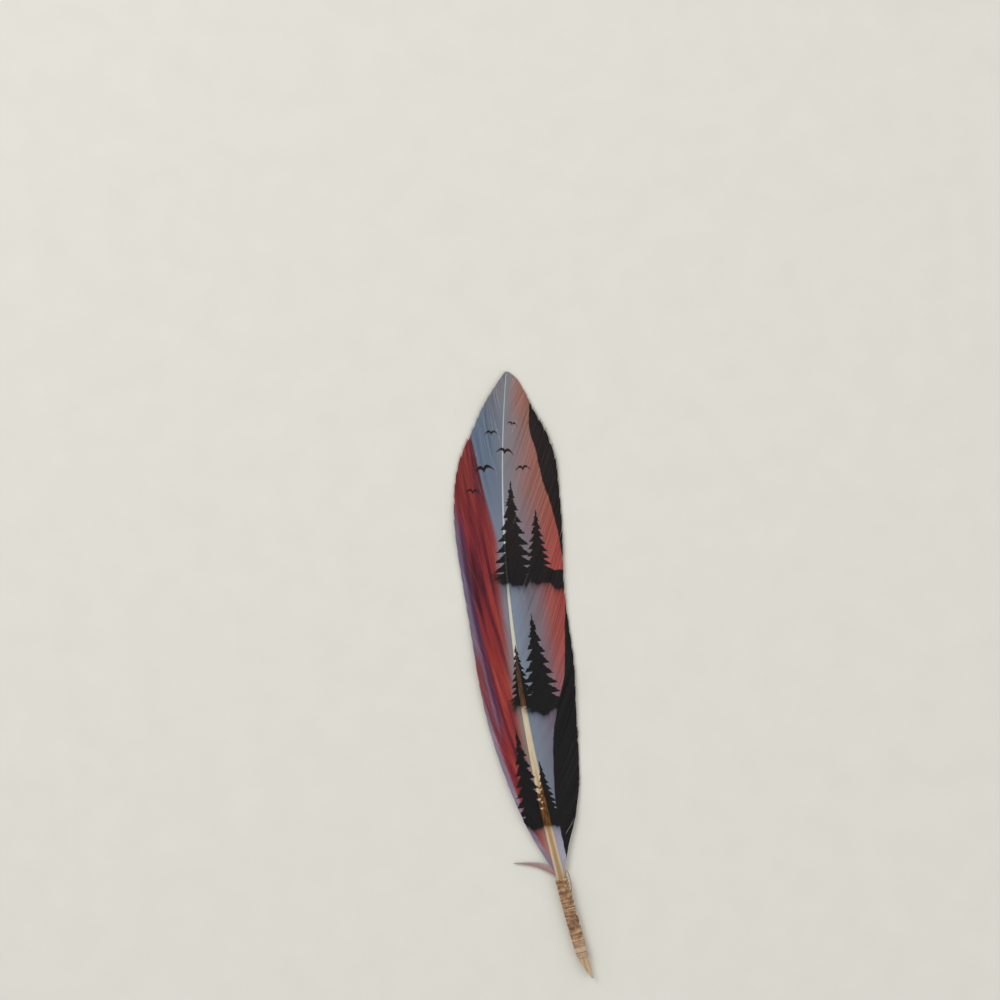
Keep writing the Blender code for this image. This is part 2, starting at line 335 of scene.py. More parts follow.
@dataclass
class Vane:
    """One vane: locks of barbs that leave the shaft, bend forward and end at the margin, over a thin web.

    Attributes:
        side: left or right.
        line: the shaft's line.
        widths: the vane's width along the chord.
        splits: gaps inside the vane.
        scratches: rubbed lines on its print.
        strays: barbs whose tips stand out past the margin: the root in millimetres, and by what share.
        seed: seed of its small irregularities.
        lead: how far along a barb runs, by its root.
        start: where the first barb leaves the shaft.
        start_speed, spread_speed: how fast a barb runs along and out at its root, against an even run.
        root_rise: height of the barbs' roots over the shaft's middle, in radii.
        droop: how far the margin hangs, as a share of the width, but never below the edge height.
        edge_lift, lift_wave: how the margin waves up and down.
        joint_jitter: how unevenly the locks share the margin.
        notch, deep_notch, deep_share: half the gap between locks at the margin, and how many are deep.
        tip_round, tip_jitter: how far a lock's outer barbs fall short, and any barb at random.
        fringe_share, fringe: how many barbs stand out a little, and by what share of their length.
        wander: how far a barb strays from its lane at the margin, in barbs.
        least_width: half width that no barb is thinner than before its tip.
        web_rows, web_columns: points of each lock's web along the shaft and out from it.
        web_tone, painted_split_shadow, split_full: the web's shade, how far a split darkens it as painted
        shadow, and from which half gap.
    """

    side: Side
    line: ShaftLine
    widths: Stations
    splits: tuple[Stretch, ...] = ()
    scratches: tuple[Stretch, ...] = ()
    strays: tuple[tuple[float, float], ...] = ()
    seed: int = 1
    lead: Stations = Stations(
        (
            (32.5, 1.5), (45, 13), (60, 26), (80, 36), (105, 42), (130, 38), (150, 27), (167, 14),
            (179, 6.3), (186.8, 0),
        )
    )
    start: float = 32.5 * MM
    locks: int = 32
    barbs_per_lock: int = 10
    barb_steps: int = 26
    start_speed: float = 0.88
    spread_speed: float = 1.15
    root_rise: float = 0.25
    droop: float = 0.17
    edge_height: float = 0.56 * MM
    camber_power: float = 1.6
    edge_lift: float = 0.3 * MM
    lift_wave: float = 41 * MM
    barb_half_height: float = 0.09 * MM
    barb_fill: float = 0.47
    web_depth: float = 0.072 * MM
    web_thickness: float = 0.10 * MM
    web_reach: float = 0.975
    joint_jitter: float = 0.22
    notch: float = 0.06 * MM
    deep_notch: float = 0.28 * MM
    deep_share: float = 0.12
    tip_round: float = 0.012
    tip_jitter: float = 0.004
    fringe_share: float = 0.02
    fringe: float = 0.008
    wander: float = 0.05
    least_width: float = 0.03 * MM
    web_rows: int = 5
    web_columns: int = 22
    web_tone: float = 0.35
    painted_split_shadow: float = 4.2
    split_full: float = 0.3 * MM
    rng: np.random.Generator = field(init=False)
    joints: Array = field(init=False)
    notches: Array = field(init=False)

    def __post_init__(self) -> None:
        """Sets the joints between the locks and how far each opens at the margin."""
        self.rng = np.random.default_rng(self.seed)
        start = np.linspace(self.start, self.line.chord, 400)
        spread = 2 * start + self.lead.at(start)
        even = np.linspace(spread[0], spread[-1], self.locks + 1)
        most = self.joint_jitter * (even[1] - even[0])
        jitter = self.rng.uniform(-most, most, self.locks + 1)
        jitter[[0, -1]] = 0.0
        self.joints = np.interp(even + jitter, spread, start)
        deep = self.rng.random(self.locks + 1) < self.deep_share
        widest = np.where(deep, self.deep_notch, self.notch)
        self.notches = self.rng.uniform(0.5, 1.0, self.locks + 1) * widest

    def _notch(self, joint: Array, reach: Array) -> Array:
        """Half the gap at each joint near the margin."""
        depth = np.where(self.notches[joint] > self.notch, 0.80, 0.90)
        return self.notches[joint] * np.clip((reach - depth) / (1 - depth), 0, 1) ** 1.5

    def _split(self, joint: Array, reach: Array) -> Array:
        """Half the gap at each joint where a split parts the barbs."""
        gap = np.zeros(np.broadcast_shapes(np.shape(joint), np.shape(reach)))
        for split in self.splits:
            bump = np.sin(math.pi * np.clip((reach - split.low) / (split.high - split.low), 0, 1))
            nearest = int(np.abs(self.joints - split.root * MM).argmin())
            gap = gap + np.where(joint == nearest, split.gap * MM * bump**0.6, 0.0)
        return gap

    def _roots(self, lock: Array, lane: Array, reach: Array, parted: bool = True) -> Array:
        """Where on the chord the barb in this lane of this lock seems to start, seen at this reach."""
        low = self.joints[lock] + self._notch(lock, reach) + parted * self._split(lock, reach)
        high = self.joints[lock + 1] - self._notch(lock + 1, reach) - parted * self._split(lock + 1, reach)
        return low + (high - low) * lane

    def surface(self, root: Array, reach: Array) -> tuple[Array, Array]:
        """Points on top of the vane, and their places.

        A barb runs along by lead * (a r + (1 - a) r^2) and out by width * (b r - (b - 1) r^2), and the
        vane's height falls from the shaft to the margin with the share of the width to the camber's power.

        Args:
            root: where the barb leaves the shaft, along the chord.
            reach: share of the barb's length, from 0 to 1.

        Returns:
            The points, and each one's distance out and place along.
        """
        lead = self.lead.at(root)
        along = root + lead * (self.start_speed * reach + (1 - self.start_speed) * reach**2)
        bend = self.spread_speed * reach - (self.spread_speed - 1) * reach**2
        out = self.widths.at(root + lead) * bend
        width = self.widths.at(along)
        share = np.clip(out / width, 0, 1)
        base = self.line.height.at(along) + self.root_rise * self.line.radius.at(along)
        edge = np.maximum(self.edge_height, base - self.droop * width)
        wave = np.sin(2 * math.pi * along / self.lift_wave + self.side.value)
        lift = self.edge_lift * (1 + wave) * share**2
        height = base - (base - edge) * share**self.camber_power + lift
        signed = self.side.value * out
        return self.line.beside(along, signed, height), pair(signed, along)

    def barbs(self) -> Surface:
        """Every barb as a thin rod on the vane's surface that tapers to a point at the margin."""
        rng = self.rng
        lock = np.repeat(np.arange(self.locks), self.barbs_per_lock)[:, None]
        lane = np.tile((np.arange(self.barbs_per_lock) + 0.5) / self.barbs_per_lock, self.locks)[:, None]
        count = len(lock)
        tip = 1.0 - self._rounding(lane) - rng.uniform(0, self.tip_jitter, (count, 1))
        stands_out = rng.random((count, 1)) < self.fringe_share
        tip = tip + np.where(stands_out, rng.uniform(0.0, self.fringe, (count, 1)), 0.0)
        start = self.joints[lock] + (self.joints[lock + 1] - self.joints[lock]) * lane
        for root, extra in self.strays:
            tip[int(np.abs(start - root * MM).argmin())] += extra
        reach = np.linspace(0, 1, self.barb_steps) ** 0.9 * tip
        wander = self.wander / self.barbs_per_lock * rng.normal(size=(count, 1)) * smooth(reach, 0.2, 1.0)
        roots = self._roots(lock, lane + wander, reach)
        paths, places = self.surface(roots, reach)
        step = 0.01
        near, _ = self.surface(self._roots(lock, lane + step, reach), reach)
        ahead = unit(np.gradient(paths, axis=1))
        apart = near - paths
        apart = apart - (apart * ahead).sum(-1, keepdims=True) * ahead
        spacing = np.linalg.norm(apart, axis=-1) / (step * self.barbs_per_lock)
        taper = 1 - smooth(reach / tip, 0.9, 1.0) * 0.85
        half_width = np.maximum(self.barb_fill * spacing, self.least_width) * taper
        tones = pair(self._tones(count)[:, None], self._wear_and_painted_light(roots[:, 0], reach))
        paths[..., 2] += rng.normal(0, 0.01 * MM, (count, 1))
        paths[..., 2] += 0.07 * MM * rng.normal(size=(count, 1)) * reach**8
        half_height = self.barb_half_height * (0.45 + 0.55 * taper) * (1 - 0.35 * reach)
        return carried(paths, half_width, half_height, places, tones)

    def _rounding(self, lane: Array) -> Array:
        """What a barb's length lacks for its lane, so each lock ends in a blunt arc."""
        return self.tip_round * np.abs(2 * lane - 1) ** 3

    def _tones(self, count: int) -> Array:
        """A random shade for each barb, partly shared with its neighbours."""
        fine = self.rng.random(count)
        kernel = np.hanning(9)
        broad = np.convolve(self.rng.random(count + 8), kernel / kernel.sum(), mode="valid")
        return np.clip(0.5 + 0.35 * (fine - 0.5) + 1.6 * (broad - 0.5), 0, 1)

    def _wear_and_painted_light(self, roots: Array, reach: Array) -> Array:
        """How far the print is rubbed off: the stated scratches, and faint short lines towards the tip."""
        wear_and_painted_light = np.zeros_like(reach)
        faint = np.where(np.arange(len(roots)) > len(roots) * 0.55)[0]
        for barb in self.rng.choice(faint, 7):
            middle = self.rng.uniform(0.2, 0.8)
            wear_and_painted_light[barb] = 0.35 * np.exp(-(((reach[barb] - middle) / 0.09) ** 2))
        for scratch in self.scratches:
            barb = int(np.abs(roots - scratch.root * MM).argmin())
            inside = smooth(reach[barb], scratch.low, scratch.low + 0.08)
            wear_and_painted_light[barb] = inside * (1 - smooth(reach[barb], scratch.high - 0.08, scratch.high))
        return wear_and_painted_light

    def web(self) -> Surface:
        """The barbules' close web as a thin sheet under each lock's barbs."""
        lock = np.arange(self.locks)[:, None, None]
        lane = np.linspace(0.002, 0.998, self.web_rows)[:, None]
        reach = np.linspace(0, 1, self.web_columns) * (self.web_reach - self._rounding(lane))
        lock, lane, reach = np.broadcast_arrays(lock, lane, reach)
        top, places = self.surface(self._roots(lock, lane, reach, parted=False), reach)
        top[..., 2] -= self.web_depth
        bottom = top.copy()
        bottom[..., 2] -= self.web_thickness
        parted = self._split(lock, reach) * (lane < 0.01) + self._split(lock + 1, reach) * (lane > 0.99)
        # Painted shadow: under a split the web is darkened, so the gap reads as shadow and not as the floor
        # showing through.
        tones = pair(self.web_tone - self.painted_split_shadow * np.minimum(parted / self.split_full, 1), 0.0)
        return sheet_between(top, bottom, places, tones)

    def build(self, finish: bpy.types.Material) -> None:
        """The vane's barbs and web as two pieces in the printed finish."""
        for label, surface in {"barbs": self.barbs(), "web": self.web()}.items():
            surface.mesh_object(f"{label}_{self.side.name.lower()}", "printed_vane", finish)


@dataclass
class Shaft:
    """The quill and shaft: one tapering rod, grooved on top, cut to a slanted hollow point at its end.

    Attributes:
        line: the shaft's line.
        cut_length: how far the slanted cut runs along the quill.
        cut_fade: how far up the quill its rings lean with the cut.
        hollow: the inner radius.
        hollow_depth: how deep the quill is open.
        hollow_steps: rings down its wall.
        groove, groove_width: the groove's depth and width on top, in radii.
        sides, steps: points round the shaft and rings along it.
    """

    line: ShaftLine
    cut_length: float = 7.0 * MM
    cut_fade: float = 16.0 * MM
    hollow: float = 0.95 * MM
    hollow_depth: float = 9.0 * MM
    hollow_steps: int = 8
    groove: float = 0.16
    groove_width: float = 0.42
    sides: int = 24
    steps: int = 150

    def _ring(self, along: Array, radius: Array, groove: Array) -> tuple[Array, Array]:
        """Points round the shaft at each place along it, leaning with the cut near the end, and places."""
        angle = np.arange(self.sides) * 2 * math.pi / self.sides
        out = radius[:, None] * np.cos(angle)
        side = np.cos(angle) * np.ones_like(out)
        up = radius[:, None] * np.sin(angle)
        dip = (groove * radius)[:, None] * np.exp(-((side / self.groove_width) ** 2)) * (np.sin(angle) > 0)
        lean = (1 - side) / 2 * self.cut_length - up * 0.9
        lean = lean * np.clip(1 - along / self.cut_fade, 0, 1)[:, None]
        place = np.maximum(along[:, None] + lean, 0.0)
        height = self.line.height.at(along)[:, None] + up - dip
        return self.line.beside(place, out, height), pair(out, place)

    def build(self, finish: bpy.types.Material) -> None:
        """The shaft as one closed piece: up the hollow's wall from its floor, over the cut, to the tip."""
        inner = np.linspace(self.hollow_depth, 0.0, self.hollow_steps)
        outer = np.concatenate([[0.0], self.line.chord * np.linspace(0.004, 0.997, self.steps)])
        groove = self.groove * smooth(-outer, -100 * MM, -70 * MM) * smooth(outer, 31 * MM, 36 * MM)
        walls = self._ring(inner, np.full_like(inner, self.hollow), np.zeros_like(inner))
        skin = self._ring(outer, self.line.radius.at(outer), groove)
        rings, places = (np.concatenate(both) for both in zip(walls, skin))
        index = np.arange(rings.size // 3).reshape(-1, self.sides)
        faces = [*ringed(index), index[0].tolist(), index[-1, ::-1].tolist()]
        in_hollow = np.arange(len(index)) < len(inner)
        # Painted shade: the second tone is 1 on the hollow's inner wall, which paints it darker brown.
        tones = pair(0.5, np.repeat(in_hollow, self.sides))
        made = Surface(rings.reshape(-1, 3), faces, places.reshape(-1, 2), tones)
        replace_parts(made.mesh_object("shaft", "printed_vane", finish), "feather")


@dataclass
class LooseLock:
    """A lock at the foot of the left vane that stands away from it: barbs that run together to a point.

    Attributes:
        line: the shaft's line.
        root: where along the chord it starts.
        points: how far out and how far forward it runs, its height and half its width, in millimetres.
        barbs: how many barbs lie side by side.
        steps: points along each barb.
        thickness: half a barb's height.
        least_width: half width that no barb is thinner than.
        overlap: how far neighbouring barbs' widths overlap.
        fan: how much lower the outer barbs lie than the middle one.
        shade_out, shade_along: the place on the vane whose printed colour it takes.
    """

    line: ShaftLine
    root: float = 31.6 * MM
    points: tuple[tuple[float, float, float, float], ...] = (
        (0.0, 0.9, 1.75, 0.65), (1.9, 2.9, 1.70, 1.15), (3.6, 4.3, 1.55, 1.05), (5.6, 5.5, 1.35, 0.78),
        (8.6, 6.7, 1.05, 0.45), (11.0, 7.4, 0.85, 0.26), (12.8, 7.9, 0.70, 0.08),
    )
    barbs: int = 22
    steps: int = 30
    thickness: float = 0.07 * MM
    least_width: float = 0.03 * MM
    overlap: float = 1.15
    fan: float = 0.12 * MM
    shade_out: float = 0.6 * MM
    shade_along: float = 40 * MM

    def build(self, finish: bpy.types.Material) -> None:
        """The lock as thin rods that keep their lane across its width, over one another like a fan."""
        rng = np.random.default_rng(11)
        out, ahead, height, half_width = course(self.points, self.steps)
        lane = np.linspace(-1, 1, self.barbs)[:, None]
        place, across = self.line.level(np.array([self.root]))
        forward = np.array([-across[0, 1], across[0, 0]])
        middle = place[0] - out[:, None] * across[0] + ahead[:, None] * forward
        heading = unit(np.gradient(middle, axis=0))
        square = pair(-heading[:, 1], heading[:, 0])
        offset = lane * half_width * (1 + 0.05 * rng.normal(size=(self.barbs, 1)))
        level = middle[None] + offset[..., None] * square[None]
        high = height[None] - self.fan * lane**2 + rng.normal(0, 0.02 * MM, (self.barbs, 1))
        paths = np.concatenate([level, high[..., None]], axis=-1)
        wide = np.maximum(half_width / self.barbs * self.overlap, self.least_width)
        places = pair(-self.shade_out - 0.4 * offset, self.shade_along)
        # Painted highlight: the second tone rises from 0.4 to 1 towards the lock's upper edge, so that edge
        # is painted paler.
        tones = pair(rng.random((self.barbs, 1)), 0.4 + 0.6 * smooth(-lane, 0.35, 0.9))
        lock = carried(paths, wide, self.thickness, places, tones)
        lock.mesh_object("loose_lock", "printed_vane", finish)


@dataclass
class Binding:
    """Thread wound tight round the quill over a thin core, with crossing turns, a loose end and fine fuzz.

    Attributes:
        line: the shaft's line.
        start: where the winding begins along the chord.
        end: where it ends.
        radius: middle radius of the thread's layer.
        thread: the thread's own radius.
        turns: how many turns lie side by side.
        turn_steps: points in each turn.
        hairs: how many fine hairs stand off the thread.
        crossing_turns: how many slanting turns climb over the others.
        strand_steps: points along each of them, and along the loops and the loose end.
        bunching, sway, drift: how far turns rise in bunches and singly, and how far they shift along.
        core: inner and outer radius of the layer under the thread.
        loops: where small loops stand out on the right edge, painted pale as a highlight, in millimetres.
        loose_end: how far out, how far along and how high the loose end of the thread runs, in millimetres.
    """

    line: ShaftLine
    start: float = 7.0 * MM
    end: float = 31.6 * MM
    radius: float = 1.80 * MM
    thread: float = 0.17 * MM
    turns: int = 84
    turn_steps: int = 24
    hairs: int = 170
    crossing_turns: int = 15
    strand_steps: int = 40
    bunching: float = 0.045 * MM
    sway: float = 0.022 * MM
    drift: float = 0.10 * MM
    core: tuple[float, float] = (1.45 * MM, 1.58 * MM)
    loops: tuple[float, ...] = (30.4, 29.2, 28.1, 26.8, 25.2, 23.4, 20.3, 17.2)
    loose_end: tuple[tuple[float, float, float], ...] = (
        (1.0, 30.9, 3.25), (1.55, 32.5, 2.95), (2.10, 33.6, 2.45), (2.55, 32.4, 2.10), (2.62, 30.2, 2.05),
        (2.30, 27.9, 2.45), (1.50, 25.4, 3.20), (0.54, 23.2, 3.66),
    )

    def _around(self, along: Array, angle: Array, radius: Array) -> Array:
        """Points at an angle round the quill, kept just above the ground."""
        out = radius * np.cos(angle)
        height = self.line.height.at(np.array(20 * MM)) + radius * np.sin(angle)
        return self.line.beside(along, out, np.maximum(height, self.thread * 1.05))

    def _strand(self, along: Array, angle: Array, radius: Array, thread: float, tone: object) -> Surface:
        """One thread through these places round the quill."""
        path = self._around(along, angle, radius)[None]
        places = pair(np.cos(angle) * radius, along)
        return carried(path, thread, thread, places, pair(tone, 0.0), sides=6, axis=(0.0, 1.0, 0.0))

    def winding(self) -> Surface:
        """The main winding: one long helix whose turns bunch up here and there and sink between, the sunk
        ones in painted shade.
        """
        rng = np.random.default_rng(5)
        share = np.linspace(0, 1, self.turns * self.turn_steps)

        def wander(knots: int) -> Array:
            """A random run through this many places along the winding."""
            return np.interp(share * (knots - 1), np.arange(knots), rng.normal(size=knots))

        bunch, fine, patch = wander(self.turns // 2), wander(self.turns * 3), wander(9)
        along = self.start + (self.end - self.start) * share + self.drift * fine
        radius = self.radius + self.bunching * np.clip(bunch, -1.6, 1.4) + self.sway * np.roll(fine, 40)
        inside = np.minimum(share, 1 - share) * (self.end - self.start)
        radius -= 0.11 * MM * (1 - smooth(inside, 0.0, 1.3 * MM))
        # Painted shade: turns that bunch up are painted lighter and turns that sink between are painted
        # darker; the rest of the tone is random.
        tone = np.clip(0.50 + 0.20 * bunch + 0.15 * fine + 0.07 * patch, 0, 1)
        angle = 2 * math.pi * self.turns * share
        return self._strand(np.clip(along, self.start, self.end), angle, radius, self.thread, tone)

    def crossings(self) -> list[Surface]:
        """Turns that climb at a slant over the winding, most of them near its upper end."""
        rng = np.random.default_rng(8)
        share = np.linspace(0, 1, self.strand_steps)
        strands = []
        for fall in np.arange(self.crossing_turns) / self.crossing_turns:
            middle = self.end - (self.end - self.start - 4 * MM) * fall**1.5 - 2 * MM
            angle = rng.uniform(0, 2 * math.pi) + 2 * math.pi * rng.uniform(0.4, 0.9) * share
            rise = rng.uniform(-2.6, 2.6) * MM
            along = np.clip(middle + rise * (share - 0.5), self.start, self.end)
            radius = self.radius + 0.11 * MM * np.sin(math.pi * share) ** 0.5
            tone = rng.uniform(0.25, 1.0)
            strands.append(self._strand(along, angle, radius, self.thread * rng.uniform(0.45, 0.75), tone))
        for middle in self.loops:
            along = (middle + 0.5 * np.cos(math.pi * share)) * MM
            angle = -0.1 + 0.75 * share
            radius = self.radius + (0.06 + 0.16 * np.sin(math.pi * share)) * MM
            # Painted highlight: tone 1.5 paints these loops paler than the rest of the thread, for the
            # glints on the right edge.
            strands.append(self._strand(along, angle, radius, self.thread * 0.7, 1.5))
        return strands

    def loose(self) -> Surface:
        """The thread's loose end: a small loop at the upper edge, then down over the winding."""
        out, along, height = course(self.loose_end, self.strand_steps)
        path = self.line.beside(along, out, height)[None]
        width = self.thread * 0.55
        return carried(path, width, width, pair(out, along), pair(0.2, 0.0), sides=6)

    def fuzz(self) -> Surface:
        """Fine hairs that stand off the thread and bend over."""
        rng = np.random.default_rng(21)
        share = np.linspace(0, 1, 6)
        each = (self.hairs, 1)
        root = rng.uniform(self.start + 0.4 * MM, self.end - 0.4 * MM, each)
        length = rng.uniform(0.3, 1.1, each) * MM
        angle = rng.uniform(-0.25, math.pi + 0.25, each) + rng.normal(0, 0.35, each) * share
        along = root + length * rng.normal(0, 0.8, each) * share
        paths = self._around(along, angle, self.radius + 0.08 * MM + length * share * 0.75)
        width = 0.022 * MM * (1 - 0.6 * share)
        places = pair(np.cos(angle) * self.radius, along)
        tones = pair(rng.uniform(0.3, 1.0, each), 0.0)
        return carried(paths, width, width, places, tones, sides=3, axis=(0.0, 1.0, 0.0))

    def build(self, finish: bpy.types.Material) -> None:
        """Core, winding, crossings, loose end and fuzz as one piece that stands for the plain sleeve."""
        parts = [self.winding(), *self.crossings(), self.loose(), self.fuzz(), self._core()]
        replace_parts(joined(parts).mesh_object("binding_thread", "thread", finish), "quill_binding")

    def _core(self) -> Surface:
        """The inner layer: a sleeve whose rings run up its outside, down its inside and back."""
        along = np.linspace(self.start + 0.2 * MM, self.end - 0.2 * MM, 30)[:, None]
        angle = np.linspace(0, 2 * math.pi, 25)[:-1]
        inner, outer = (self._around(along, angle, radius) for radius in self.core)
        points = np.concatenate([outer, inner[::-1]])
        index = np.arange(points.size // 3).reshape(points.shape[:2])
        points = points.reshape(-1, 3)
        places = pair(0.0, points[:, 1])
        return Surface(points, ringed(np.concatenate([index, index[:1]])), places, np.zeros_like(places))


def linear(colour: str) -> tuple[float, float, float, float]:
    """A colour written as six hexadecimal digits, in linear light with full alpha."""
    parts = [int(colour[i : i + 2], 16) / 255 for i in (0, 2, 4)]
    light = [part / 12.92 if part <= 0.04045 else ((part + 0.055) / 1.055) ** 2.4 for part in parts]
    return (*light, 1.0)


class Value:
    """A node's output, which signs of arithmetic join to numbers and other outputs through Math nodes."""

    def __init__(self, graph: "Graph", socket: Socket) -> None:
        """Keeps the graph that the output belongs to."""
        self.graph = graph
        self.socket = socket

    def __add__(self, other: object) -> "Value":
        """self + other."""
        return self.graph.math("ADD", self, other)

    def __sub__(self, other: object) -> "Value":
        """self - other."""
        return self.graph.math("SUBTRACT", self, other)

    def __rsub__(self, other: object) -> "Value":
        """other - self."""
        return self.graph.math("SUBTRACT", other, self)

    def __mul__(self, other: object) -> "Value":
        """self * other."""
        return self.graph.math("MULTIPLY", self, other)

    def __truediv__(self, other: object) -> "Value":
        """self / other."""
        return self.graph.math("DIVIDE", self, other)

    def __pow__(self, power: float) -> "Value":
        """self to a power."""
        return self.graph.math("POWER", self, power)

    def __neg__(self) -> "Value":
        """-self."""
        return self * -1.0

    def __abs__(self) -> "Value":
        """self without its sign."""
        return self.graph.math("ABSOLUTE", self)

    def most(self, other: object) -> "Value":
        """The greater of self and other."""
        return self.graph.math("MAXIMUM", self, other)

    def rise(self, low: object, high: object) -> "Value":
        """An S-shaped rise from 0 at low to 1 at high, or a fall where low is the greater."""
        node = self.graph.put("ShaderNodeMapRange", self, low, high, interpolation_type="SMOOTHSTEP")
        return self.graph.take(node)

    def ramp(self, *stops: tuple[float, str]) -> "Value":
        """A colour that passes through the stops, each a place from 0 to 1 and a colour."""
        node = self.graph.put("ShaderNodeValToRGB", self)
        elements = node.color_ramp.elements
        while len(elements) < len(stops):
            elements.new(0.5)
        for element, (place, colour) in zip(elements, stops):
            element.position = place
            element.color = linear(colour)
        return self.graph.take(node)

    def curve(self, reach: float, height: float, *points: tuple[float, float]) -> "Value":
        """A curve through points: places from 0 to REACH, values from 0 to HEIGHT."""
        node = self.graph.put("ShaderNodeFloatCurve", 1.0, self / reach)
        curve = node.mapping.curves[0]
        while len(curve.points) < len(points):
            curve.points.new(0.5, 0.5)
        for point, (place, level) in zip(curve.points, points):
            point.location = (place / reach, level / height)
        node.mapping.update()
        return self.graph.take(node) * height


class Graph:
    """Short calls that add nodes to one shader tree or group."""

    def __init__(self, tree: bpy.types.NodeTree) -> None:
        """Keeps the tree that the nodes go in."""
        self.tree = tree

    def put(self, kind: str, *values: object, **settings: object) -> bpy.types.Node:
        """A new node, with its settings and the values or links of its first inputs."""
        node = self.tree.nodes.new(kind)
        for name, value in settings.items():
            setattr(node, name, value)
        for socket, value in zip(node.inputs, values):
            self.feed(socket, value)
        return node

    def feed(self, socket: Socket, value: object) -> None:
        """Links a socket to an output, or sets its number or colour; None leaves it alone."""
        if isinstance(value, Value):
            self.tree.links.new(value.socket, socket)
        elif value is not None:
            socket.default_value = linear(value) if isinstance(value, str) else value

    def take(self, node: bpy.types.Node, output: int | str = 0) -> Value:
        """One of a node's outputs."""
        return Value(self, node.outputs[output])

    def math(self, operation: str, *values: object) -> Value:
        """The result of a Math node."""
        return self.take(self.put("ShaderNodeMath", *values, operation=operation))

    def mix(self, share: object, a: object, b: object, blend: str = "MIX") -> Value:
        """Colour a, turning to colour b with the share."""
        node = self.put("ShaderNodeMix", share, data_type="RGBA", blend_type=blend)
        self.feed(node.inputs[6], a)
        self.feed(node.inputs[7], b)
        return self.take(node, 2)

    def washed(self, colour: object, *washes: tuple[Value, object]) -> Value:
        """A colour with washes laid over it in turn, each a share and a colour."""
        for share, wash in washes:
            colour = self.mix(share, colour, wash)
        return colour

    def vector(self, x: object, y: object, z: object = 0.0) -> Value:
        """A vector from three numbers."""
        return self.take(self.put("ShaderNodeCombineXYZ", x, y, z))

    def noise(self, vector: Value, scale: float, detail: float = 2.0) -> Value:
        """Smooth noise from 0 to 1."""
        return self.take(self.put("ShaderNodeTexNoise", vector, None, scale, detail))


def group(
    name: str, inputs: tuple[str, ...], outputs: dict[str, str]
) -> tuple[Graph, list[Value], bpy.types.Node]:
    """A new shader node group.

    Args:
        name: the group's name.
        inputs: names of its number inputs.
        outputs: its outputs' names and socket types.

    Returns:
        Its graph, its inputs, and the node that takes its outputs.
    """
    tree = bpy.data.node_groups.new(name, "ShaderNodeTree")
    for label in inputs:
        tree.interface.new_socket(label, in_out="INPUT", socket_type="NodeSocketFloat")
    for label, kind in outputs.items():
        tree.interface.new_socket(label, in_out="OUTPUT", socket_type=kind)
    graph = Graph(tree)
    entry = graph.put("NodeGroupInput")
    return graph, [graph.take(entry, label) for label in inputs], graph.put("NodeGroupOutput")


def pine_group() -> None:
    """A pine's outline: tiers of boughs that narrow to the top, each widest at its foot, on a trunk."""
    graph, (x, y, height, half_width), leave = group(
        "pine_outline", ("X", "Y", "Height", "Half Width"), {"Mask": "NodeSocketFloat"}
    )
    share = y / height
    below = 1.0 - share
    near = abs(x)
    right = graph.math("GREATER_THAN", x, 0.0)
    tier = graph.math("FRACT", share.most(0.0) ** 0.85 * 9.0 + right * 0.4)
    rough = graph.noise(graph.vector(x, y), 1.3, 3.0) - 0.5
    wide = half_width * below * (1.0 - tier * 0.55) + rough * (half_width * 0.2 + 0.15)
    crown = (wide - near).rise(-0.06, 0.06)
    crown = crown * share.rise(0.0, 0.01) * below.rise(0.0, 0.01)
    stem = (below * 0.42 + 0.08 - near).rise(-0.06, 0.06)
    trunk = stem * y.rise(-0.8, -0.6) * (height - y).rise(0.0, 0.2)
    graph.feed(leave.inputs["Mask"], crown.most(trunk))


def bird_group() -> None:
    """A distant bird's outline: two arched wings, thickest at the body, in units of half the wing span."""
    graph, (across, y, tilt), leave = group("bird_outline", ("X", "Y", "Tilt"), {"Mask": "NodeSocketFloat"})
    x = across + y * tilt
    near = abs(x)
    arch = graph.math("SINE", near**0.7 * math.pi) * 0.34 - near**2.0 * 0.25
    thick = (1.0 - near).most(0.0) ** 0.8 * 0.20
    wing = (thick - abs(y - x * tilt - arch)).rise(-0.02, 0.03)
    graph.feed(leave.inputs["Mask"], wing * (1.0 - near).rise(0.0, 0.05))


@dataclass(frozen=True)
class Pine:
    """A tall pine in the print: its foot's place out from the shaft and along it, height and half width."""

    out: float
    along: float
    height: float
    half_width: float


@dataclass(frozen=True)
class Bird:
    """A bird in the print: its place out from the shaft and along it, half its wing span, and bank."""

    out: float
    along: float
    half_span: float
    tilt: float


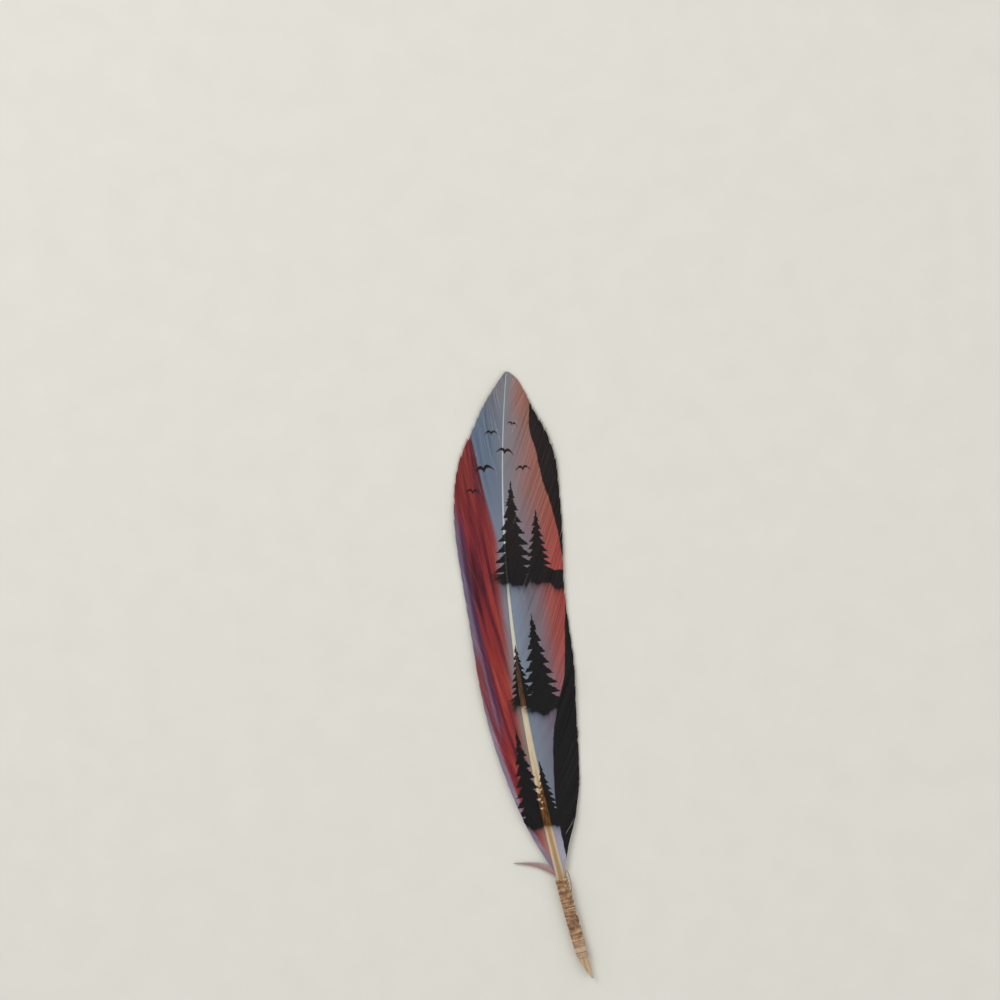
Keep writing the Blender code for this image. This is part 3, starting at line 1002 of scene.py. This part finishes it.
@dataclass(frozen=True)
class SunsetPrint:
    """The print: a sunset sky, a dark slope on the right, pines on ledges that run out from it, and birds.

    All places are in millimetres: out from the shaft, and along its chord from the quill's end.
    """

    pines: tuple[Pine, ...] = (
        Pine(2.4, 124.0, 30.0, 7.2),
        Pine(9.8, 125.0, 20.0, 4.8),
        Pine(6.2, 84.0, 29.0, 6.9),
        Pine(0.2, 86.0, 18.0, 4.2),
        Pine(-3.6, 50.0, 29.0, 5.6),
        Pine(1.6, 51.0, 17.0, 3.6),
    )
    birds: tuple[Bird, ...] = (
        Bird(-5.6, 157.0, 3.6, 0.20),
        Bird(0.6, 162.5, 3.0, -0.12),
        Bird(6.2, 157.5, 2.6, 0.10),
        Bird(-3.6, 168.0, 2.4, 0.05),
        Bird(2.6, 171.0, 1.9, -0.20),
        Bird(-9.2, 150.5, 2.6, -0.10),
    )

    def _sky_right(self, graph: Graph, out: Value, along: Value) -> Value:
        """The right vane's sky: light blue by the shaft, then mauve, then orange red at the margin."""
        share = out / 18.0
        low = share.ramp((0.0, "8798A4"), (0.16, "848C9C"), (0.45, "7C7282"), (0.8, "865E68"))
        mid = share.ramp(
            (0.0, "8E9EAE"), (0.12, "8792A4"), (0.32, "82808C"), (0.52, "8E727A"), (0.68, "A85C54"),
            (0.9, "B04E48"),
        )
        high = share.ramp(
            (0.0, "888A92"), (0.16, "90868A"), (0.32, "997975"), (0.5, "A26C62"), (0.8, "A66454")
        )
        glow = along.rise(168.0, 180.0) * out.rise(0.0, 4.5)
        return graph.washed(
            low,
            (along.rise(56.0, 40.0), "B2AEC0"),
            (along.rise(66.0, 108.0), mid),
            (along.rise(128.0, 158.0), high),
            (glow * 0.8, "A87263"),
        )

    def _sky_left(self, graph: Graph, out: Value, along: Value) -> Value:
        """The left vane's sky: slate blue at the tip, under a streaked red band and a lavender margin."""
        left = -out
        near = graph.washed(
            "B4867E",
            (along.rise(44.0, 60.0), "988A84"),
            (along.rise(70.0, 110.0), "9A8C93"),
            (along.rise(95.0, 140.0), "8890A2"),
            (along.rise(138.0, 160.0), "74849A"),
        )
        high = (left / 16.0).ramp((0.0, "848A96"), (0.25, "748396"), (0.8, "667A92"))
        high = graph.mix(along.rise(168.0, 184.0) * 0.6, high, "948A8C")
        sky = graph.mix(along.rise(135.0, 165.0), near, high)
        lane = left - (along - 78.0) * 0.141
        streak = graph.noise(graph.vector(lane * 0.75, along * 0.028, 3.0), 1.0, 3.5)
        fine = graph.noise(graph.vector(lane * 2.4, along * 0.05, 8.0), 1.0)
        past = left - ((along - 136.0).most(0.0) * 0.235 + 2.3 + (fine - 0.5) * 1.4)
        top = along.rise(128.0, 152.0)
        red = graph.washed(
            self._streaks(graph, streak * 0.75 + fine * 0.25, along),
            (top * 0.45, "64242C"),
            (past.rise(2.4, 0.4) * (0.55 - top * 0.45), "A8564E"),
        )
        soft = 1.25 - top * 0.85
        return self._margin(graph, graph.mix(past.rise(-soft, soft), sky, red), left, along, fine)

    def _streaks(self, graph: Graph, shade: Value, along: Value) -> Value:
        """The red band's streaks, from wine to orange red, which grow pale towards the quill."""
        red = shade.ramp(
            (0.33, "3C1822"), (0.40, "5E1E2A"), (0.46, "862B35"), (0.53, "9C3536"), (0.60, "AE4439"),
            (0.68, "B25C4E"),
        )
        return graph.washed(
            red,
            (along.rise(60.0, 48.0) * 0.75, "A8544E"),
            (along.rise(45.0, 37.0) * 0.8, "AE8480"),
        )

    def _margin(self, graph: Graph, painted: Value, left: Value, along: Value, fine: Value) -> Value:
        """The left margin: a violet line, a lavender or streaked band outside it, and a pale strip."""
        violet = left - ((along - 92.0) * 0.088 + 8.75)
        line = graph.math("EXPONENT", violet * violet * -2.2)
        line = line * along.rise(74.0, 84.0) * along.rise(148.0, 136.0)
        streaked = graph.mix(fine.rise(0.35, 0.6), "7A4250", "94484A")
        band = graph.washed(
            streaked, (along.rise(98.0, 108.0), "84748E"), (violet.rise(1.6, 0.9), "7E6E88")
        )
        outer = violet.rise(0.3, 1.3)
        outer = outer * along.rise(152.0, 138.0) * along.rise(72.0, 84.0)
        above = along - 52.0
        strip = (left - (graph.math("MINIMUM", above * 0.155, above * 0.31) + 5.8)).rise(-0.2, 0.6)
        return graph.washed(painted, (line, "4E3A5C"), (outer, band), (strip, "968498"))

    def _slope(self, graph: Graph, out: Value, along: Value) -> Value:
        """Where the dark slope covers the right margin."""
        edge = along.curve(
            190.0, 20.0, (0, 3.6), (42, 3.3), (52, 3.6), (62, 5.0), (74, 7.2), (84, 10.6),
            (96, 14.4), (110, 16.2), (122, 17.6), (134, 16.8), (144, 15.2), (154, 12.2), (164, 9.9),
            (173, 7.7), (190, 8.4),
        )
        rough = (graph.noise(graph.vector(out * 0.35, along), 0.3, 4.0) - 0.5) * 0.7
        return (out - (edge + rough)).rise(-0.12, 0.12) * out.rise(0.8, 1.4)

    def _ledge(self, graph: Graph, out: Value, along: Value, pine: Pine) -> Value:
        """A spur of the slope under a tall pine: crisp along its top, and lost in mist below."""
        rough = (graph.noise(graph.vector(out, pine.along), 0.45, 4.0) - 0.5) * 1.6
        depth = pine.along + 1.4 - (out - pine.out) * 0.12 + rough - along
        under = graph.noise(graph.vector(out, along * 0.4, pine.along), 0.24, 2.5)
        solid = under.rise(0.3, 0.7) * 2.4 + 1.8
        fade = graph.math("EXPONENT", (depth - solid).most(0.0) * -0.75)
        spread = out.rise(pine.out - 1.3 * pine.half_width, pine.out - 0.5 * pine.half_width)
        return depth.rise(-0.12, 0.12) * fade * spread

    def _ink(self, graph: Graph, out: Value, along: Value) -> Value:
        """Where black ink lies: the slope, the tall pines on their ledges, and the birds."""
        groups = bpy.data.node_groups
        masks = [self._slope(graph, out, along)]
        for pine in self.pines:
            given = (out - pine.out, along - pine.along, pine.height, pine.half_width)
            masks.append(graph.take(graph.put("ShaderNodeGroup", *given, node_tree=groups["pine_outline"])))
            masks.append(self._ledge(graph, out, along, pine))
        for bird in self.birds:
            given = ((out - bird.out) / bird.half_span, (along - bird.along) / bird.half_span, bird.tilt)
            masks.append(graph.take(graph.put("ShaderNodeGroup", *given, node_tree=groups["bird_outline"])))
        return reduce(Value.most, masks)

    def node_group(self) -> None:
        """The print as a group: from a place out and along, in millimetres, to its colour and its ink."""
        outputs = {"Color": "NodeSocketColor", "Ink": "NodeSocketFloat"}
        graph, (out, along), leave = group("sunset_print", ("Out", "Along"), outputs)
        blurred = out + (graph.noise(graph.vector(out * 3.0, along), 0.8, 3.0) - 0.5) * 0.5
        left = self._sky_left(graph, blurred, along)
        sky = graph.mix(blurred.rise(-0.4, 0.4), left, self._sky_right(graph, blurred, along))
        ink = self._ink(graph, out, along)
        black = graph.mix(along.rise(110.0, 155.0), "151214", "241A19")
        graph.feed(leave.inputs["Color"], graph.mix(ink, sky, black))
        graph.feed(leave.inputs["Ink"], ink)


class Finish:
    """Base of the finishes: a material with a graph and its shader."""

    def __init__(self, name: str) -> None:
        """Makes an empty node material of this name."""
        self.material = bpy.data.materials.new(name)
        self.material.use_nodes = True
        self.graph = Graph(self.material.node_tree)
        self.shader = self.material.node_tree.nodes["Principled BSDF"]

    def dress(self, values: dict[str, object]) -> None:
        """Sets or links the shader's inputs by name."""
        for name, value in values.items():
            self.graph.feed(self.shader.inputs[name], value)

    def place(self) -> tuple[Value, Value]:
        """The place map's two numbers: out from the shaft and along it."""
        place = self.graph.take(self.graph.put("ShaderNodeUVMap", uv_map=PLACE_MAP))
        parts = self.graph.put("ShaderNodeSeparateXYZ", place)
        return self.graph.take(parts, 0), self.graph.take(parts, 1)

    def value(self, name: str) -> Value:
        """A value that the mesh holds for each point."""
        return self.graph.take(self.graph.put("ShaderNodeAttribute", attribute_name=name), "Fac")

    def printed(self) -> tuple[Value, Value]:
        """The print's colour and its ink at this place."""
        tree = bpy.data.node_groups["sunset_print"]
        node = self.graph.put("ShaderNodeGroup", *self.place(), node_tree=tree)
        return self.graph.take(node, "Color"), self.graph.take(node, "Ink")

    def object_place(self) -> Value:
        """The place in the object's own coordinates, in metres."""
        return self.graph.take(self.graph.put("ShaderNodeTexCoord"), "Object")

    def upward(self) -> Value:
        """1 where the face looks up and 0 where it looks down."""
        normal = self.graph.take(self.graph.put("ShaderNodeNewGeometry"), "True Normal")
        parts = self.graph.put("ShaderNodeSeparateXYZ", normal)
        return self.graph.take(parts, 2).rise(-0.25, 0.05)

    def bump(self, height: Value, strength: float, distance: float) -> None:
        """Bumps the surface by a height."""
        node = self.graph.put("ShaderNodeBump")
        for name, value in {"Strength": strength, "Distance": distance, "Height": height}.items():
            self.graph.feed(node.inputs[name], value)
        self.dress({"Normal": self.graph.take(node)})


class VaneFinish(Finish):
    """Barbs and web: printed above, natural horn brown and cream below, each barb its own shade."""

    def __init__(self) -> None:
        """Builds the finish."""
        super().__init__("printed_barbs")
        graph = self.graph
        colour, ink = self.printed()
        out, along = self.place()
        grain = graph.noise(graph.vector(out * 2.0, along * 0.7), 2.2, 3.0)
        tone = self.value("tone") * 0.09 + 0.95 + (grain - 0.5) * 0.16
        shade = graph.take(graph.put("ShaderNodeCombineColor", tone, tone, tone))
        # The second tone whitens the print: real wear on the barbs, and a painted highlight along the loose
        # lock's upper edge.
        worn = graph.mix(self.value("wear_and_painted_light") * grain.rise(0.35, 0.55), colour, "AFA6A6")
        under = graph.washed("8C7A66", (grain.rise(0.3, 0.7), "B8A88E"), (ink * 0.35, "4C423B"))
        self.dress(
            {
                "Base Color": graph.mix(self.upward(), under, graph.mix(1.0, worn, shade, "MULTIPLY")),
                "Roughness": grain * 0.2 + 0.46,
                "Sheen Weight": 0.04,
                "Specular IOR Level": 0.22,
            }
        )


class ShaftFinish(Finish):
    """The shaft: ivory by the tip and amber at the quill, with pale edges, fibres along it, its ink, and
    painted shade down its lower groove and inside its hollow.
    """

    def __init__(self) -> None:
        """Builds the finish."""
        super().__init__("horn_shaft")
        graph = self.graph
        ink = self.printed()[1]
        out, along = self.place()
        near = abs(out)
        fibre = graph.noise(graph.vector(out * 5.0, along * 0.22), 1.6, 4.0)
        body = (along / 190.0).ramp(
            (0.0, "C9AE90"), (0.04, "BFA07A"), (0.17, "A0845F"), (0.24, "B4966F"),
            (0.33, "C6B18E"), (0.45, "CEC2A8"), (0.58, "C8C6B8"), (0.74, "B6BEBC"), (1.0, "9AA3A4"),
        )
        edge = near.rise(0.45, 0.95) * along.rise(20.0, 40.0)
        # Painted shade: a darker line down the middle of the lower shaft, where its groove lies.
        centre = near.rise(0.5, 0.1) * along.rise(78.0, 52.0) * fibre.rise(0.3, 0.6)
        soak = fibre.rise(0.40, 0.58)
        stain = ink * (soak * 0.03 + 0.965) * self.upward()
        amber = graph.mix(soak, "7E4A18", "28150A")
        colour = graph.washed(
            body,
            (fibre.rise(0.45, 0.8) * 0.4, "8A6E48"),
            (edge * 0.6, "DED2B8"),
            (centre, "98764A"),
            (stain, graph.mix(along.rise(108.0, 70.0), "241A17", amber)),
            # Painted shade: the second tone darkens the hollow's inner wall to brown.
            (self.value("wear_and_painted_light"), "8E6C40"),
        )
        self.dress(
            {
                "Base Color": colour,
                "Roughness": fibre * 0.2 + 0.36 + stain * 0.3,
                "Specular IOR Level": 0.25,
                "Coat Weight": 0.15 - stain * 0.15,
            }
        )
        self.bump(fibre, 0.25, 0.08 * MM)


class ThreadFinish(Finish):
    """The binding's fibre: tan strands, painted shade in the dark gaps between the bands, fine hairs along
    each strand.
    """

    def __init__(self) -> None:
        """Builds the finish."""
        super().__init__("tan_thread")
        graph = self.graph
        place = self.object_place()
        hair = graph.noise(place, 5200.0, 3.0)
        patch = graph.noise(place, 620.0, 3.0)
        shade = self.value("tone") * 0.56 + hair * 0.16 + patch.rise(0.3, 0.7) * 0.26
        colour = shade.ramp(
            (0.12, "3C241A"), (0.28, "704C36"), (0.46, "A07854"), (0.66, "C6A27A"), (0.88, "E2CEAC")
        )
        pale = self.place()[1].rise(13.5, 8.5) * 0.62
        colour = graph.mix(pale, colour, "D2B99C")
        self.dress({"Base Color": colour, "Roughness": 0.78, "Sheen Weight": 0.2})
        self.bump(hair, 0.4, 0.06 * MM)


class FloorFinish(Finish):
    """The floor: pale and matt, faintly mottled."""

    def __init__(self) -> None:
        """Builds the finish."""
        super().__init__("pale_floor")
        mottle = self.graph.noise(self.object_place(), 90.0, 3.0)
        self.dress({"Base Color": self.graph.mix(mottle, "D9D7CD", "DFDDD4"), "Roughness": 0.85})


@dataclass(frozen=True)
class Studio:
    """A pale floor, soft lights and a camera that looks straight down.

    Attributes:
        aim: the point on the floor at the frame's centre.
        turn: how far the feather leans in the frame, in degrees.
        frame_width: width of floor that the frame takes in.
        lens: focal length in millimetres.
        sensor: width of the camera's sensor in millimetres.
        floor_half: half the floor's width.
        floor_drop: how far the floor lies under the ground.
        world_light: strength of the white light from all round.
        lamps: each light's name, place, width and power.
    """

    aim: tuple[float, float] = (-3.83 * MM, 128.98 * MM)
    turn: float = 8.043
    frame_width: float = 305 * MM
    lens: float = 180.0
    sensor: float = 36.0
    floor_half: float = 3.0
    floor_drop: float = 0.05 * MM
    world_light: float = 0.57
    lamps: tuple[tuple[str, tuple[float, float, float], float, float], ...] = (
        ("key", (-0.55, 0.75, 0.95), 0.7, 7.2),
        ("fill", (0.7, -0.1, 0.9), 0.9, 2.5),
    )

    def floor(self) -> None:
        """A wide level plane under the feather, in a faintly mottled pale finish."""
        half = self.floor_half
        mesh = bpy.data.meshes.new("floor")
        corners = [(-half, -half, 0.0), (half, -half, 0.0), (half, half, 0.0), (-half, half, 0.0)]
        mesh.from_pydata(corners, [], [(0, 1, 2, 3)])
        made = bpy.data.objects.new("floor", mesh)
        made.location.z = -self.floor_drop
        bpy.context.scene.collection.objects.link(made)
        mesh.materials.append(FloorFinish().material)

    def _area(self, name: str, place: tuple[float, float, float], size: float, power: float) -> None:
        """A square soft light that faces the feather."""
        data = bpy.data.lights.new(name, "AREA")
        data.size = size
        data.energy = power
        made = bpy.data.objects.new(name, data)
        bpy.context.scene.collection.objects.link(made)
        made.location = place
        toward = Vector((self.aim[0], self.aim[1], 0.0)) - made.location
        made.rotation_euler = toward.to_track_quat("-Z", "Y").to_euler()

    def lights(self) -> None:
        """An even pale world, a broad key from the upper left and a weak fill."""
        world = bpy.data.worlds.new("soft_studio")
        bpy.context.scene.world = world
        world.use_nodes = True
        background = world.node_tree.nodes["Background"]
        background.inputs["Color"].default_value = (1.0, 1.0, 1.0, 1.0)
        background.inputs["Strength"].default_value = self.world_light
        for lamp in self.lamps:
            self._area(*lamp)

    def camera(self) -> None:
        """The camera: straight above the aim, its up turned with the feather's lean."""
        data = bpy.data.cameras.new("camera")
        data.lens = self.lens
        data.sensor_width = self.sensor
        made = bpy.data.objects.new("camera", data)
        bpy.context.scene.collection.objects.link(made)
        made.location = (*self.aim, self.frame_width * self.lens / self.sensor)
        made.rotation_euler = (0.0, 0.0, -math.radians(self.turn))
        data.clip_end = 20.0
        bpy.context.scene.camera = made

    def build(self) -> None:
        """Floor, lights, camera and plain colour rendering."""
        self.floor()
        self.lights()
        self.camera()
        bpy.context.scene.view_settings.view_transform = "Standard"


LEFT_WIDTHS = Stations(
    (
        (32, 0.8), (38, 3.0), (48, 6.2), (60, 8.8), (75, 11.1), (90, 12.4), (110, 13.0), (125, 14.0),
        (144, 15.4), (154, 14.9), (161, 13.5), (169, 10.0), (177, 6.5), (183, 2.9), (185.5, 1.3),
        (186.8, 0.3),
    )
)
RIGHT_WIDTHS = Stations(
    (
        (32, 1.2), (40, 4.4), (50, 9.4), (62, 13.1), (80, 15.7), (100, 17.7), (120, 17.4), (140, 18.1),
        (159, 17.0), (169, 14.0), (177, 8.9), (183, 5.1), (185.5, 2.9), (186.8, 0.6),
    )
)


def main() -> None:
    """Builds the feather, its binding and the studio, and reports each piece."""
    logging.basicConfig(level=logging.INFO, format="%(name)s: %(message)s")
    pine_group()
    bird_group()
    SunsetPrint().node_group()
    vane_finish = VaneFinish().material
    line = ShaftLine()
    left = Vane(
        Side.LEFT,
        line,
        LEFT_WIDTHS,
        scratches=(Stretch(164, 0.15, 0.55), Stretch(150, 0.2, 0.5), Stretch(158, 0.5, 0.8)),
        strays=((41, 0.07), (41.3, 0.05), (44, 0.045), (47.5, 0.03)),
        seed=3,
    )
    right = Vane(
        Side.RIGHT,
        line,
        RIGHT_WIDTHS,
        splits=(Stretch(106, 0.24, 0.44, 0.4), Stretch(112, 0.16, 0.24, 0.3)),
        scratches=(Stretch(40.5, 0.45, 0.92), Stretch(163, 0.3, 0.6)),
        strays=((45, 0.05), (46, 0.07), (53, 0.045), (53.5, 0.03)),
        seed=4,
    )
    for vane in (left, right):
        vane.build(vane_finish)
    Shaft(line).build(ShaftFinish().material)
    LooseLock(line).build(vane_finish)
    Binding(line).build(ThreadFinish().material)
    Studio().build()


if __name__ == "__main__":
    main()
